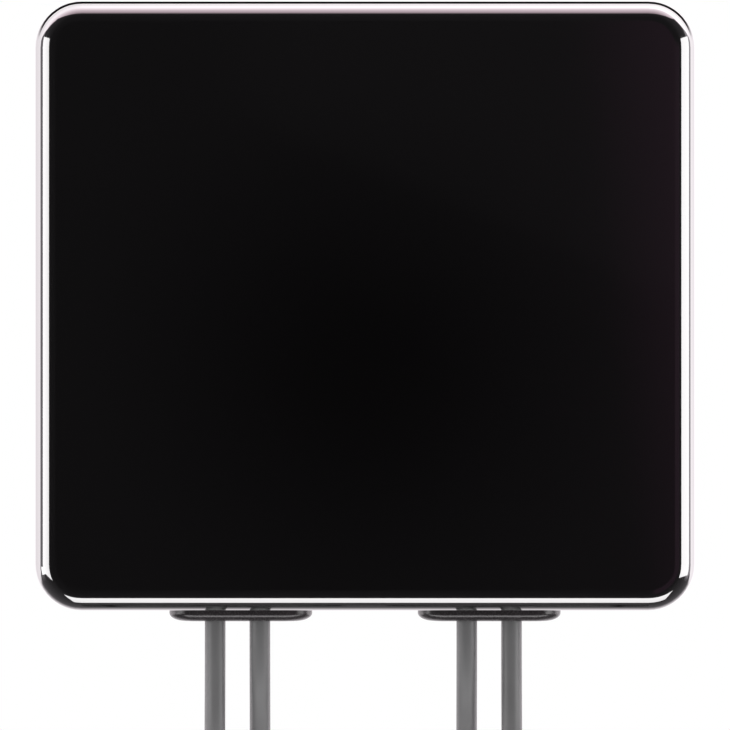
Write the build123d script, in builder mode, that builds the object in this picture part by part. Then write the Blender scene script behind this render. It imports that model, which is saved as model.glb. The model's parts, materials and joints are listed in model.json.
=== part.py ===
from build123d import *
import os
from math import pi, radians, tan

# A wall-hung cellular signal booster panel: a sealed, gloss black box with four coaxial leads
# that leave its underside in two pairs, each pair through one rubber gland. The box holds four
# patch antennas over an aluminium ground plane, with an amplifier board behind it. It hangs by
# keyholes on the four studs of a wall plate, and lifts off by sliding up. Each lead is coiled,
# tied and ends in a screw-on coaxial plug, whose coupling nut turns freely.
#
# Millimetres. +X is to the right as seen from the front, +Z is up, and the wall is the XZ plane
# at Y = 0, with the box in front of it. The origin is the middle of the wall plate's four screw
# holes, on the wall. A depth is a distance in front of the wall, towards -Y.

# The box
WIDTH, HEIGHT = 158.0, 146.0
CORNER_R = 11.2
FRONT_EDGE_R, BACK_EDGE_R = 5.0, 3.0
SIDE_WALL, FACE_WALL = 3.0, 2.4
BACK, SEAM, FRONT = 1.0, 12.0, 28.0  # depths of the back face, the split line and the front face
SEAM_CHAMFER = 0.4
FACE_INSIDE, BACK_INSIDE = FRONT - FACE_WALL, BACK + FACE_WALL
BOTTOM = -HEIGHT / 2
BOX_CORNER = (WIDTH / 2 - CORNER_R, HEIGHT / 2 - CORNER_R)

# Seal between the two covers, in a groove in the rear cover's rim
SEAL_INSET, SEAL_SIZE = 0.9, 1.2

# Cover screws: one in each corner, one in the middle of the top and of the bottom
COVER_SCREW_SPOTS = [(sx * BOX_CORNER[0], sz * BOX_CORNER[1]) for sx in (-1, 1) for sz in (-1, 1)]
COVER_SCREW_SPOTS += [(0, HEIGHT / 2 - 7), (0, 7 - HEIGHT / 2)]
BOSS_R, POST_R = 4.2, 4.6
SCREW_R, SCREW_HOLE_R = 1.45, 1.65
SCREW_HEAD_R, SCREW_HEAD_H, HEAD_SINK, HEAD_SINK_R = 2.9, 1.9, 3.0, 3.2
INSERT_R, INSERT_LENGTH, INSERT_BORE_R, INSERT_RELIEF = 2.1, 5.0, 1.5, 4.0
DRIVE_R, DRIVE_DEPTH = 1.1, 1.1  # the hexagonal socket in a screw's head

# Wall plate and the keyholes that hang the box on its studs
PLATE_WIDTH, PLATE_HEIGHT, PLATE_T, PLATE_CORNER_R = 96.0, 80.0, 3.0, 6.0
WALL_HOLE_X, WALL_HOLE_Z, WALL_HOLE_R, WALL_SINK_R = 80.0, 60.0, 2.25, 4.4
STUD_X, STUD_Z = 52.0, 48.0
STUD_NECK_R, STUD_HEAD_R, STUD_HEAD_H = 2.0, 4.0, 1.8
LIFT = 10.0  # how far the box slides up before its keyholes let the stud heads out
KEY_SLOT_R, KEY_ENTRY_R = 2.2, 4.6
RECESS_DEPTH, RECESS_GAP, RECESS_WALL, RECESS_CORNER_R = 4.0, 2.0, 2.2, 8.0
RECESS_FLOOR = RECESS_DEPTH + RECESS_WALL
POCKET_WALL, POCKET_DEPTH = 1.6, 2.4
STUD_HEAD_DEPTH = RECESS_FLOOR + 0.2  # a little clear of the recess's floor, so that the box can slide
PAD_SPOTS = [(sx * 64.0, sz * 48.0) for sx in (-1, 1) for sz in (-1, 1)]
PAD_R = 4.5

# Ground plane, antenna patches and the amplifier board
PLANE_BACK, PLANE_T = 14.5, 1.5
PLANE_WIDTH, PLANE_LOW, PLANE_HIGH, PLANE_CORNER_R = 132.0, -40.0, 56.0, 4.0
PLANE_SCREW_SPOTS = [(sx * 62.0, z) for sx in (-1, 1) for z in (-36.0, 8.0, 52.0)]
PLANE_POST_R, PILOT_R, PILOT_SCREW_R, PILOT_DEPTH, PLANE_SCREW_REACH = 3.2, 1.25, 1.2, 8.0, 7.0
PATCH_WIDTH, PATCH_HEIGHT, PATCH_CORNER_R, PATCH_T, PATCH_BACK = 54.0, 42.0, 2.0, 0.5, 23.4
PATCH_CENTRES = [(x, z) for z in (31.5, -15.5) for x in (-30.5, 30.5)]
PATCH_POST_X, PATCH_POST_Z, PATCH_POST_R = 46.0, 34.0, 2.6
PATCH_SCREW_R, PATCH_SCREW_HOLE_R, PATCH_HEAD_R, PATCH_HEAD_H = 1.0, 1.05, 1.9, 1.1
SLOT_WIDTH, SLOT_HEIGHT, SLOT_LINE = 28.0, 20.0, 2.0
FEED_DROP, FEED_R, FEED_HOLE_R, FEED_CLEAR_R, FEED_TAIL = 5.0, 0.65, 0.7, 2.2, 0.6
BOARD_BACK, BOARD_T = 11.2, 1.6
BOARD_WIDTH, BOARD_LOW, BOARD_HIGH, BOARD_CORNER_R = 114.0, -44.0, 50.0, 3.0
BOARD_SCREW_SPOTS = [(-50.0, 42.0), (50.0, 42.0), (-50.0, -26.0), (50.0, -26.0), (0.0, 3.0)]
BOARD_HEAD_R, BOARD_HEAD_H, STANDOFF_R = 2.4, 1.5, 2.6
CAN_H, CAN_WALL, CAN_CORNER_R = 2.8, 0.3, 0.6
CANS = [(0.0, 26.0, 34.0, 36.0), (0.0, -21.0, 34.0, 38.0), (-45.0, 8.0, 18.0, 46.0), (45.0, 8.0, 18.0, 46.0)]
CHIP_SPOTS = [(0, 34), (0, 18), (0, -12), (0, -30), (-45, 20), (-45, -4), (45, 20), (45, -4)]
FILTER_SPOTS = [(sx * x, z) for sx in (-1, 1) for x, z in ((11, 26), (11, -21), (45, 8))]
CHIP_SIZE, CHIP_H = 5.0, 0.9
FILTER_WIDTH, FILTER_HEIGHT, FILTER_H = 3.8, 3.0, 1.7
CAPACITOR_SIZE, CAPACITOR_PITCH, CAPACITOR_ROW = (0.8, 1.6, 0.8), 3.0, 4.6
THERMAL_INSET, THERMAL_SHARE = 2.0, 0.95  # the side pads stand a little inwards, on the recess's floor

# Leads: two pairs, each pair in one gland, all at the depth of the seam
CABLE_R = 2.5
PAIR_X, LEAD_PITCH = 30.0, 10.8
LEFT_PAIR_SHIFT = -0.8  # the left-hand leads sit a little off the middle of their gland
LEAD_X = [
    pair_middle + offset
    for pair_middle in (-PAIR_X + LEFT_PAIR_SHIFT, PAIR_X)
    for offset in (-LEAD_PITCH / 2, LEAD_PITCH / 2)
]
LEAD_SIDE = [-1, -1, 1, 1]
LEAD_IS_OUTER = [True, False, False, True]
GLAND_WIDTH, GLAND_DEPTH, GLAND_DROP, GLAND_EDGE_R = 34.5, 12.0, 2.5, 2.2
NECK_WIDTH, NECK_DEPTH = 29.0, 7.4
LIP_WIDTH, LIP_DEPTH, LIP_H = 33.0, 11.0, 2.0
EXIT_Z = BOTTOM - GLAND_DROP
CLAMP_Z, CLAMP_H, CLAMP_HALF_WIDTH, CLAMP_T, CLAMP_CORNER_R = -61.5, 6.0, 16.5, 4.6, 1.5
CLAMP_SCREW_X, CLAMP_GAP, CLAMP_SCREW_REACH, CLAMP_PILOT_DEPTH = 13.3, 0.15, 5.0, 6.0
INNER_PLUG_R, INNER_PLUG_Z, INNER_PLUG_LENGTH, NOSE_R, NOSE_LENGTH = 2.9, -57.0, 6.0, 1.75, 4.0
JACK_Z, JACK_SIZE, JACK_BORE_R, JACK_WEB, JACK_LEG_T, JACK_LEG_LENGTH = -50.0, 6.4, 1.8, 1.6, 0.8, 3.6

# Coils: each pair's two coils lie one in front of the other, and a tie holds both
COIL_X, COIL_Z = 38.7, -166.0
COIL_INNER_R, COIL_OUTER_R, COIL_DEPTH, COIL_EDGE_R = 18.0, 36.7, 10.2, 2.4
FRONT_COIL_DEPTH, REAR_COIL_DEPTH = 17.6, 6.9
TIE_ANGLE, TIE_WIDTH, TIE_T, TIE_GAP, TIE_CORNER_R = 40.0, 9.0, 1.2, 0.3, 2.0
TIE_INNER_GAP = 0.9  # more room inside the ring, where a straight tie crosses its curve

# The routes of the right-hand leads. The left-hand ones are mirrored, and take up the left pair's
# shift on their way to the coil: whole at first, and none at its end.
SHIFT_SHARES = [1.0, 1.0, 1.0, 1.0, 0.8, 0.7, 0.0]
OUTER_ROUTE = [
    (35.4, -12.0, -75.5),
    (35.4, -12.0, -88.0),
    (35.4, -14.7, -101.5),
    (35.4, -15.0, -114.2),
    (39.6, -15.0, -124.5),
    (47.3, -15.0, -132.5),
    (57.4, -15.0, -136.9),
]
INNER_ROUTE = [
    (24.6, -12.0, -75.5),
    (24.6, -12.0, -87.0),
    (24.6, -9.7, -98.4),
    (24.6, -9.4, -111.4),
    (30.2, -9.4, -123.1),
    (40.2, -9.4, -131.2),
    (52.7, -9.4, -134.1),
]
OUTER_TAIL = [
    (72.9, -20.1, -163.0),
    (73.4, -19.4, -186.0),
    (73.4, -19.4, -209.0),
]
INNER_TAIL = [
    (72.9, -4.4, -163.0),
    (73.4, -6.2, -186.0),
    (73.4, -6.2, -209.0),
]

# Coaxial plug, measured down from the end of the cable's jacket
FLANGE_R, FLANGE_H = 3.5, 2.6
PLUG_NECK_R, PLUG_NECK_H = 2.5, 2.4
COLLAR_R, COLLAR_H = 3.1, 1.2
TUBE_R, TUBE_H = 2.35, 2.2
TUBE_END = FLANGE_H + PLUG_NECK_H + COLLAR_H + TUBE_H
INSULATOR_R, INSULATOR_TOP = 2.05, 3.0
CONTACT_R, CONTACT_LENGTH, CONTACT_POINT_R = 0.46, 7.4, 0.2
NUT_FLATS, NUT_TOP, NUT_LENGTH, NUT_CORNER_R = 8.0, 2.8, 9.2, 4.4
NUT_LIP_R, NUT_LIP_H, NUT_BORE_R = 2.58, 2.0, 3.18
SLEEVE_R, SLEEVE_LENGTH = 3.05, 11.0
BOOT_R, BOOT_END_R, BOOT_LENGTH, BOOT_START = 4.0, 3.4, 14.0, 1.5

HANGING = (Align.CENTER, Align.CENTER, Align.MAX)
STANDING = (Align.CENTER, Align.CENTER, Align.MIN)


def at_depth(depth):
    """The plane parallel to the wall at this depth. Its own y is up, and it faces the front."""
    return Plane.XZ.offset(depth)


def keep(piece, label):
    """Labels a finished piece and writes it as its own STEP file."""
    piece.part.label = label
    export_step(piece.part, f"parts/{label}.step")


def mirrored(points, side):
    """The points of a right-hand route, or the same route on the left for a side of -1."""
    return [(side * x, y, z) for x, y, z in points]


def lead_route(points, side):
    """A lead's route on its side, from its own place in the gland to its coil."""
    shift = LEFT_PAIR_SHIFT if side < 0 else 0.0
    return [(x + shift * share, y, z) for (x, y, z), share in zip(mirrored(points, side), SHIFT_SHARES)]


def arc_radii(points):
    """The radius at each corner: 0.45 of the shorter run, over the tangent of half the turn."""
    corners = []
    for before, here, after in zip(points, points[1:], points[2:]):
        run_in, run_out = Vector(here) - Vector(before), Vector(after) - Vector(here)
        turn = radians(run_in.get_angle(run_out))
        corners.append(0.45 * min(run_in.length, run_out.length) / tan(turn / 2))
    return corners


def cable_tube(points, label):
    """A cable's tube along straight runs joined by tangent arcs."""
    radii = arc_radii(points)
    with BuildPart() as tube:
        with BuildLine():
            path = FilletPolyline(*points, radius=radii)
        with BuildSketch(Plane(origin=path @ 0, z_dir=path % 0)):
            Circle(CABLE_R)
        sweep()
    share = tube.part.volume / (pi * CABLE_R**2 * path.length)
    print(f"{label}: length {path.length:.1f}, smallest radius {min(radii):.1f}, volume share {share:.4f}")
    keep(tube, label)


def inset_outline(inset, mode=Mode.ADD):
    """Sketches the box's outline, moved inwards all round."""
    return RectangleRounded(WIDTH - 2 * inset, HEIGHT - 2 * inset, CORNER_R - inset, mode=mode)


def gland_openings():
    """Cuts the two gland necks' way through the underside of the part being built."""
    with BuildSketch(Plane.XY.offset(BOTTOM - 1)) as openings:
        with Locations((-PAIR_X, -SEAM), (PAIR_X, -SEAM)):
            SlotOverall(NECK_WIDTH, NECK_DEPTH)
    extrude(openings.sketch, amount=SIDE_WALL + 2, mode=Mode.SUBTRACT)


def pin_row(spots, depth, radius, length):
    """Adds a pin at each spot, from this depth towards the front."""
    with BuildSketch(at_depth(depth)) as discs:
        with Locations(*spots):
            Circle(radius)
    extrude(discs.sketch, amount=length)


os.makedirs("parts", exist_ok=True)
STUD_SPOTS = [(sx * STUD_X / 2, sz * STUD_Z / 2) for sx in (-1, 1) for sz in (-1, 1)]
KEYHOLE_MIDDLES = [(x, z - LIFT / 2) for x, z in STUD_SPOTS]
FEED_SPOTS = [(x, z - FEED_DROP) for x, z in PATCH_CENTRES]
LEAD_SPOTS = [(x, -SEAM) for x in LEAD_X]
CLAMP_SCREW_SPOTS = [(sx * PAIR_X + ox, CLAMP_Z) for sx in (-1, 1) for ox in (-CLAMP_SCREW_X, CLAMP_SCREW_X)]
PATCH_POST_SPOTS = [
    (x + sx * PATCH_POST_X / 2, z + sz * PATCH_POST_Z / 2)
    for x, z in PATCH_CENTRES
    for sx in (-1, 1)
    for sz in (-1, 1)
]

# ---- Front cover: the gloss shell, a radome that radio waves pass through ----
with BuildPart() as front_cover:
    with BuildSketch(at_depth(SEAM)):
        inset_outline(0)
    extrude(amount=FRONT - SEAM)
    fillet(front_cover.edges().group_by(Axis.Y)[0], FRONT_EDGE_R)
    chamfer(front_cover.edges().group_by(Axis.Y)[-1], SEAM_CHAMFER)
    with BuildSketch(at_depth(SEAM)):
        inset_outline(SIDE_WALL)
    extrude(amount=FACE_INSIDE - SEAM, mode=Mode.SUBTRACT)
    with BuildSketch(at_depth(SEAM)):
        with Locations(*COVER_SCREW_SPOTS):
            Circle(BOSS_R)
    extrude(amount=FACE_INSIDE - SEAM)
    with BuildSketch(at_depth(SEAM)):
        with Locations(*COVER_SCREW_SPOTS):
            Circle(INSERT_R)
    extrude(amount=INSERT_LENGTH, mode=Mode.SUBTRACT)
    with BuildSketch(at_depth(SEAM + INSERT_LENGTH)):
        with Locations(*COVER_SCREW_SPOTS):
            Circle(SCREW_HOLE_R)
    extrude(amount=INSERT_RELIEF, mode=Mode.SUBTRACT)
    gland_openings()
keep(front_cover, "front_cover")

# ---- Rear cover: tray with the wall plate's recess, its keyholes and every post ----
with BuildPart() as rear_cover:
    with BuildSketch(at_depth(BACK)):
        inset_outline(0)
    extrude(amount=SEAM - BACK)
    fillet(rear_cover.edges().group_by(Axis.Y)[-1], BACK_EDGE_R)
    chamfer(rear_cover.edges().group_by(Axis.Y)[0], SEAM_CHAMFER)
    with BuildSketch(at_depth(BACK_INSIDE)):
        inset_outline(SIDE_WALL)
    extrude(amount=SEAM - BACK_INSIDE, mode=Mode.SUBTRACT)
    with BuildSketch(at_depth(SEAM - SEAL_SIZE)):
        inset_outline(SEAL_INSET)
        inset_outline(SEAL_INSET + SEAL_SIZE, mode=Mode.SUBTRACT)
    extrude(amount=SEAL_SIZE, mode=Mode.SUBTRACT)
    # The recess is as wide as the plate and its gaps, and as much taller as the box lifts.
    recess_centre = (0, -LIFT / 2)
    recess_size = (PLATE_WIDTH + 2 * RECESS_GAP, PLATE_HEIGHT + LIFT + 2 * RECESS_GAP)
    with BuildSketch(at_depth(BACK_INSIDE)):
        with Locations(recess_centre):
            boss_size = [side + 2 * RECESS_WALL for side in recess_size]
            RectangleRounded(*boss_size, RECESS_CORNER_R + RECESS_WALL)
    extrude(amount=RECESS_FLOOR - BACK_INSIDE)
    with BuildSketch(at_depth(RECESS_FLOOR)):
        with Locations(*KEYHOLE_MIDDLES):
            SlotOverall(LIFT + 2 * (KEY_ENTRY_R + POCKET_WALL), 2 * (KEY_ENTRY_R + POCKET_WALL), rotation=90)
    extrude(amount=POCKET_DEPTH + POCKET_WALL)
    with BuildSketch(at_depth(BACK)):
        with Locations(recess_centre):
            RectangleRounded(*recess_size, RECESS_CORNER_R)
    extrude(amount=RECESS_DEPTH - BACK, mode=Mode.SUBTRACT)
    with BuildSketch(at_depth(RECESS_DEPTH)):
        with Locations(*KEYHOLE_MIDDLES):
            SlotOverall(LIFT + 2 * KEY_SLOT_R, 2 * KEY_SLOT_R, rotation=90)
        with Locations(*[(x, z - LIFT) for x, z in STUD_SPOTS]):
            Circle(KEY_ENTRY_R)
    extrude(amount=RECESS_WALL, mode=Mode.SUBTRACT)
    with BuildSketch(at_depth(RECESS_FLOOR)):
        with Locations(*KEYHOLE_MIDDLES):
            SlotOverall(LIFT + 2 * KEY_ENTRY_R, 2 * KEY_ENTRY_R, rotation=90)
    extrude(amount=POCKET_DEPTH, mode=Mode.SUBTRACT)
    # Posts for the cover screws, with their heads sunk in the back face
    pin_row(COVER_SCREW_SPOTS, BACK_INSIDE, POST_R, SEAM - BACK_INSIDE)
    with BuildSketch(at_depth(BACK)):
        with Locations(*COVER_SCREW_SPOTS):
            Circle(SCREW_HOLE_R)
    extrude(amount=SEAM - BACK, mode=Mode.SUBTRACT)
    with BuildSketch(at_depth(BACK)):
        with Locations(*COVER_SCREW_SPOTS):
            Circle(HEAD_SINK_R)
    extrude(amount=HEAD_SINK, mode=Mode.SUBTRACT)
    # Posts that carry the ground plane
    pin_row(PLANE_SCREW_SPOTS, BACK_INSIDE, PLANE_POST_R, PLANE_BACK - BACK_INSIDE)
    with BuildSketch(at_depth(PLANE_BACK - PILOT_DEPTH)):
        with Locations(*PLANE_SCREW_SPOTS):
            Circle(PILOT_R)
    extrude(amount=PILOT_DEPTH, mode=Mode.SUBTRACT)
    # Saddles that the leads lie in, under the clamps
    with BuildSketch(at_depth(BACK_INSIDE)):
        with Locations((-PAIR_X, CLAMP_Z), (PAIR_X, CLAMP_Z)):
            Rectangle(2 * CLAMP_HALF_WIDTH, CLAMP_H)
    extrude(amount=SEAM - CLAMP_GAP - BACK_INSIDE)
    with BuildSketch(Plane.XY.offset(CLAMP_Z - CLAMP_H / 2)):
        with Locations(*LEAD_SPOTS):
            Circle(CABLE_R)
    extrude(amount=CLAMP_H, mode=Mode.SUBTRACT)
    with BuildSketch(at_depth(SEAM - CLAMP_GAP - CLAMP_PILOT_DEPTH)):
        with Locations(*CLAMP_SCREW_SPOTS):
            Circle(PILOT_R)
    extrude(amount=CLAMP_PILOT_DEPTH, mode=Mode.SUBTRACT)
    gland_openings()
keep(rear_cover, "rear_cover")

# ---- Perimeter seal, cut where the glands themselves close the gap ----
with BuildPart() as perimeter_seal:
    with BuildSketch(at_depth(SEAM - SEAL_SIZE)):
        inset_outline(SEAL_INSET)
        inset_outline(SEAL_INSET + SEAL_SIZE, mode=Mode.SUBTRACT)
    extrude(amount=SEAL_SIZE)
    gland_openings()
keep(perimeter_seal, "perimeter_seal")

# ---- Cover screws and the brass inserts they go into ----
with BuildPart() as cover_screws:
    pin_row(COVER_SCREW_SPOTS, BACK + HEAD_SINK, SCREW_R, SEAM + INSERT_LENGTH - BACK - HEAD_SINK)
    pin_row(COVER_SCREW_SPOTS, BACK + HEAD_SINK - SCREW_HEAD_H, SCREW_HEAD_R, SCREW_HEAD_H)
    with BuildSketch(at_depth(BACK + HEAD_SINK - SCREW_HEAD_H)):
        with Locations(*COVER_SCREW_SPOTS):
            RegularPolygon(DRIVE_R, 6)
    extrude(amount=DRIVE_DEPTH, mode=Mode.SUBTRACT)
keep(cover_screws, "cover_screws")

with BuildPart() as boss_inserts:
    pin_row(COVER_SCREW_SPOTS, SEAM, INSERT_R, INSERT_LENGTH)
    with BuildSketch(at_depth(SEAM)):
        with Locations(*COVER_SCREW_SPOTS):
            Circle(INSERT_BORE_R)
    extrude(amount=INSERT_LENGTH, mode=Mode.SUBTRACT)
keep(boss_inserts, "boss_inserts")

# ---- Rubber pads that hold the box's back off the wall ----
with BuildPart() as wall_pads:
    pin_row(PAD_SPOTS, 0, PAD_R, BACK)
keep(wall_pads, "wall_pads")

# ---- Wall plate with its countersunk screw holes, and the studs riveted into it ----
with BuildPart() as wall_plate:
    with BuildSketch(at_depth(0)):
        RectangleRounded(PLATE_WIDTH, PLATE_HEIGHT, PLATE_CORNER_R)
    extrude(amount=PLATE_T)
    with BuildSketch(at_depth(0)):
        with GridLocations(WALL_HOLE_X, WALL_HOLE_Z, 2, 2):
            Circle(WALL_HOLE_R)
        with Locations(*STUD_SPOTS):
            Circle(STUD_NECK_R)
    extrude(amount=PLATE_T, mode=Mode.SUBTRACT)
    sink_edges = wall_plate.edges().filter_by(GeomType.CIRCLE).group_by(Axis.Y)[0]
    chamfer([e for e in sink_edges if abs(e.radius - WALL_HOLE_R) < 0.01], WALL_SINK_R - WALL_HOLE_R)
keep(wall_plate, "wall_plate")

with BuildPart() as hanger_studs:
    pin_row(STUD_SPOTS, 0, STUD_NECK_R, STUD_HEAD_DEPTH)
    pin_row(STUD_SPOTS, STUD_HEAD_DEPTH, STUD_HEAD_R, STUD_HEAD_H)
keep(hanger_studs, "hanger_studs")

# ---- Ground plane: aluminium sheet, with short standoffs for the board behind it ----
plane_centre, plane_height = (0, (PLANE_LOW + PLANE_HIGH) / 2), PLANE_HIGH - PLANE_LOW
with BuildPart() as ground_plane:
    with BuildSketch(at_depth(PLANE_BACK)):
        with Locations(plane_centre):
            RectangleRounded(PLANE_WIDTH, plane_height, PLANE_CORNER_R)
    extrude(amount=PLANE_T)
    pin_row(BOARD_SCREW_SPOTS, BOARD_BACK + BOARD_T, STANDOFF_R, PLANE_BACK - BOARD_BACK - BOARD_T)
    with BuildSketch(at_depth(BOARD_BACK + BOARD_T)):
        with Locations(*BOARD_SCREW_SPOTS):
            Circle(PILOT_R)
        with Locations(*PLANE_SCREW_SPOTS):
            Circle(SCREW_HOLE_R)
        with Locations(*PATCH_POST_SPOTS):
            Circle(PATCH_SCREW_HOLE_R)
        with Locations(*FEED_SPOTS):
            Circle(FEED_CLEAR_R)
    extrude(amount=PLANE_BACK + PLANE_T - BOARD_BACK - BOARD_T, mode=Mode.SUBTRACT)
keep(ground_plane, "ground_plane")

with BuildPart() as plane_screws:
    pin_row(PLANE_SCREW_SPOTS, PLANE_BACK - PLANE_SCREW_REACH, PILOT_SCREW_R, PLANE_SCREW_REACH + PLANE_T)
    pin_row(PLANE_SCREW_SPOTS, PLANE_BACK + PLANE_T, SCREW_HEAD_R, SCREW_HEAD_H)
    with BuildSketch(at_depth(PLANE_BACK + PLANE_T + SCREW_HEAD_H - DRIVE_DEPTH)):
        with Locations(*PLANE_SCREW_SPOTS):
            RegularPolygon(DRIVE_R, 6)
    extrude(amount=DRIVE_DEPTH, mode=Mode.SUBTRACT)
keep(plane_screws, "plane_screws")

# ---- Four U-slot patch antennas, each on four nylon spacers ----
for number, (patch_x, patch_z) in enumerate(PATCH_CENTRES, start=1):
    with BuildPart() as antenna_patch:
        with BuildSketch(at_depth(PATCH_BACK)):
            with Locations((patch_x, patch_z)):
                RectangleRounded(PATCH_WIDTH, PATCH_HEIGHT, PATCH_CORNER_R)
                with GridLocations(PATCH_POST_X, PATCH_POST_Z, 2, 2):
                    Circle(PATCH_SCREW_HOLE_R, mode=Mode.SUBTRACT)
                with Locations((0, -SLOT_HEIGHT / 2)):
                    Rectangle(SLOT_WIDTH, SLOT_LINE, mode=Mode.SUBTRACT)
                with Locations((-SLOT_WIDTH / 2, 0), (SLOT_WIDTH / 2, 0)):
                    Rectangle(SLOT_LINE, SLOT_HEIGHT + SLOT_LINE, mode=Mode.SUBTRACT)
                with Locations((0, -FEED_DROP)):
                    Circle(FEED_HOLE_R, mode=Mode.SUBTRACT)
        extrude(amount=PATCH_T)
    keep(antenna_patch, f"antenna_patch_{number}")

with BuildPart() as patch_spacers:
    with BuildSketch(at_depth(PLANE_BACK + PLANE_T)):
        with Locations(*PATCH_POST_SPOTS):
            Circle(PATCH_POST_R)
            Circle(PATCH_SCREW_HOLE_R, mode=Mode.SUBTRACT)
    extrude(amount=PATCH_BACK - PLANE_BACK - PLANE_T)
keep(patch_spacers, "patch_spacers")

with BuildPart() as patch_screws:
    pin_row(PATCH_POST_SPOTS, PLANE_BACK, PATCH_SCREW_R, PATCH_BACK + PATCH_T - PLANE_BACK)
    pin_row(PATCH_POST_SPOTS, PATCH_BACK + PATCH_T, PATCH_HEAD_R, PATCH_HEAD_H)
keep(patch_screws, "patch_screws")

with BuildPart() as feed_pins:
    pin_row(FEED_SPOTS, BOARD_BACK - FEED_TAIL, FEED_R, PATCH_BACK + PATCH_T - BOARD_BACK + FEED_TAIL)
keep(feed_pins, "feed_pins")

# ---- Amplifier board behind the ground plane, with its cans on the side towards the wall ----
with BuildPart() as amplifier_board:
    with BuildSketch(at_depth(BOARD_BACK)):
        with Locations((0, (BOARD_LOW + BOARD_HIGH) / 2)):
            RectangleRounded(BOARD_WIDTH, BOARD_HIGH - BOARD_LOW, BOARD_CORNER_R)
        with Locations(*BOARD_SCREW_SPOTS):
            Circle(PILOT_R, mode=Mode.SUBTRACT)
        with Locations(*FEED_SPOTS):
            Circle(FEED_HOLE_R, mode=Mode.SUBTRACT)
    extrude(amount=BOARD_T)
keep(amplifier_board, "amplifier_board")

with BuildPart() as board_screws:
    pin_row(BOARD_SCREW_SPOTS, BOARD_BACK, PILOT_SCREW_R, PLANE_BACK + PLANE_T - BOARD_BACK)
    pin_row(BOARD_SCREW_SPOTS, BOARD_BACK - BOARD_HEAD_H, BOARD_HEAD_R, BOARD_HEAD_H)
    with BuildSketch(at_depth(BOARD_BACK - BOARD_HEAD_H)):
        with Locations(*BOARD_SCREW_SPOTS):
            RegularPolygon(DRIVE_R, 6)
    extrude(amount=BOARD_HEAD_H / 2, mode=Mode.SUBTRACT)
keep(board_screws, "board_screws")

for number, (can_x, can_z, can_width, can_height) in enumerate(CANS, start=1):
    with BuildPart() as shield_can:
        with BuildSketch(at_depth(BOARD_BACK - CAN_H)):
            with Locations((can_x, can_z)):
                RectangleRounded(can_width, can_height, CAN_CORNER_R)
        extrude(amount=CAN_H)
        with BuildSketch(at_depth(BOARD_BACK - CAN_H + CAN_WALL)):
            with Locations((can_x, can_z)):
                Rectangle(can_width - 2 * CAN_WALL, can_height - 2 * CAN_WALL)
        extrude(amount=CAN_H - CAN_WALL, mode=Mode.SUBTRACT)
    keep(shield_can, f"shield_can_{number}")

with BuildPart() as amplifier_chips:
    with BuildSketch(at_depth(BOARD_BACK - CHIP_H)):
        with Locations(*CHIP_SPOTS):
            Rectangle(CHIP_SIZE, CHIP_SIZE)
    extrude(amount=CHIP_H)
keep(amplifier_chips, "amplifier_chips")

with BuildPart() as duplexer_filters:
    with BuildSketch(at_depth(BOARD_BACK - FILTER_H)):
        with Locations(*FILTER_SPOTS):
            Rectangle(FILTER_WIDTH, FILTER_HEIGHT)
    extrude(amount=FILTER_H)
keep(duplexer_filters, "duplexer_filters")

with BuildPart() as capacitors:
    with BuildSketch(at_depth(BOARD_BACK - CAPACITOR_SIZE[2])):
        with Locations(*CHIP_SPOTS):
            with GridLocations(CAPACITOR_PITCH, 2 * CAPACITOR_ROW, 3, 2):
                Rectangle(CAPACITOR_SIZE[0], CAPACITOR_SIZE[1])
    extrude(amount=CAPACITOR_SIZE[2])
keep(capacitors, "capacitors")

with BuildPart() as thermal_pads:
    with BuildSketch(at_depth(RECESS_FLOOR)):
        for can_x, can_z, can_width, can_height in CANS:
            with Locations((can_x * THERMAL_SHARE, can_z)):
                Rectangle(can_width - 2 * THERMAL_INSET, can_height - 2 * THERMAL_INSET)
    extrude(amount=BOARD_BACK - CAN_H - RECESS_FLOOR)
keep(thermal_pads, "thermal_pads")

# ---- Inner ends of the leads: jacks on the board's edge, snap plugs, and the tails in the glands ----
with BuildPart() as coax_jacks:
    with BuildSketch(Plane.XY.offset(JACK_Z)):
        with Locations(*LEAD_SPOTS):
            Rectangle(JACK_SIZE, JACK_SIZE)
            Circle(JACK_BORE_R, mode=Mode.SUBTRACT)
    extrude(amount=BOARD_LOW - JACK_Z - JACK_WEB)
    with BuildSketch(Plane.XY.offset(BOARD_LOW - JACK_WEB)):
        with Locations(*LEAD_SPOTS):
            Rectangle(JACK_SIZE, JACK_SIZE)
    extrude(amount=JACK_WEB)
    # Legs that grip the board from both sides
    with BuildSketch(Plane.XY.offset(BOARD_LOW)):
        for leg_depth in (BOARD_BACK - JACK_LEG_T / 2, BOARD_BACK + BOARD_T + JACK_LEG_T / 2):
            with Locations(*[(x, -leg_depth) for x in LEAD_X]):
                Rectangle(JACK_SIZE, JACK_LEG_T)
    extrude(amount=JACK_LEG_LENGTH)
keep(coax_jacks, "coax_jacks")

with BuildPart() as inner_plugs:
    with BuildSketch(Plane.XY.offset(INNER_PLUG_Z)):
        with Locations(*LEAD_SPOTS):
            Circle(INNER_PLUG_R)
    extrude(amount=INNER_PLUG_LENGTH)
    with BuildSketch(Plane.XY.offset(INNER_PLUG_Z + INNER_PLUG_LENGTH)):
        with Locations(*LEAD_SPOTS):
            Circle(NOSE_R)
    extrude(amount=NOSE_LENGTH)
keep(inner_plugs, "inner_plugs")

with BuildPart() as lead_tails:
    with BuildSketch(Plane.XY.offset(EXIT_Z)):
        with Locations(*LEAD_SPOTS):
            Circle(CABLE_R)
    extrude(amount=INNER_PLUG_Z - EXIT_Z)
keep(lead_tails, "lead_tails")

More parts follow.
